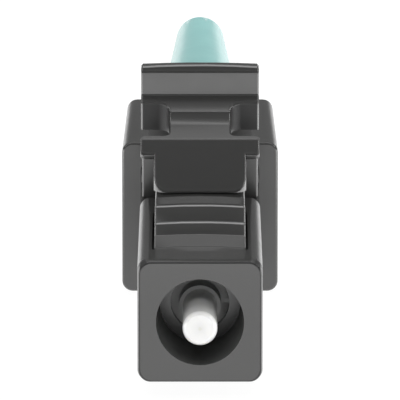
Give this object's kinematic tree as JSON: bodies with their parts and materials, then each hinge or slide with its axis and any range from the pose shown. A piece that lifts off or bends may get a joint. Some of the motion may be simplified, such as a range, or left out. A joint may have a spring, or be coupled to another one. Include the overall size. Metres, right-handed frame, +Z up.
{
  "type": "fusion splice lc connector",
  "caption": "Small-form-factor fibre plug with sprung ceramic ferrule, latch, anti-snag trigger, splice sleeve inside a square rear body, and a tapered boot.",
  "frame": {"origin": "on the ferrule axis in the plane of the plug nose's front face", "axes": "+Y from the nose to the boot along the ferrule axis, +Z up through the latch and trigger, +X across"},
  "size_m": [0.006, 0.0566, 0.0103],
  "materials": {
    "body_plastic": "satin charcoal moulding",
    "stop_plastic": "satin dark moulding",
    "boot_rubber": "satin aqua",
    "ceramic": "polished white ceramic",
    "plated_metal": "black nickel plate",
    "spring_steel": "drawn wire",
    "fibre": "clear coated",
    "sleeve_clear": "clear shrink tube",
    "sleeve_melt": "milky melt liner",
    "rod_steel": "drawn rod"
  },
  "bodies": {
    "shell": {"plug_housing": "body_plastic", "outer_housing": "body_plastic", "spring_stop": "stop_plastic", "boot": "boot_rubber", "ferrule_spring": "spring_steel"},
    "latch": {"latch_arm": "body_plastic"},
    "trigger": {"trigger_lever": "body_plastic"},
    "ferrule_core": {"ferrule": "ceramic", "ferrule_flange": "plated_metal", "fibre_stub": "fibre", "splice_tube": "sleeve_clear", "splice_liner": "sleeve_melt", "splice_rod": "rod_steel"}
  },
  "joints": [
    {"name": "trigger_press", "type": "hinge", "parent": "shell", "child": "trigger", "pos_m": [0, 0.014, 0.00345], "axis": [1, 0, 0], "range_deg": [0, 6.5], "stiffness_Nm_per_rad": 0.024},
    {"name": "latch_flex", "type": "hinge", "parent": "shell", "child": "latch", "pos_m": [0, 0.0022, 0.0023], "axis": [1, 0, 0], "range_deg": [-9.2, 0], "stiffness_Nm_per_rad": 0.009},
    {"name": "ferrule_slide", "type": "slide", "parent": "shell", "child": "ferrule_core", "axis": [0, 1, 0], "range_m": [0, 0.0006], "stiffness_N_per_m": 2000, "springref_m": -0.001, "deforming": ["ferrule_spring"]}
  ],
  "couplings": [
    {"joint": "latch_flex", "follows": "trigger_press", "ratio": -1.41}
  ]
}
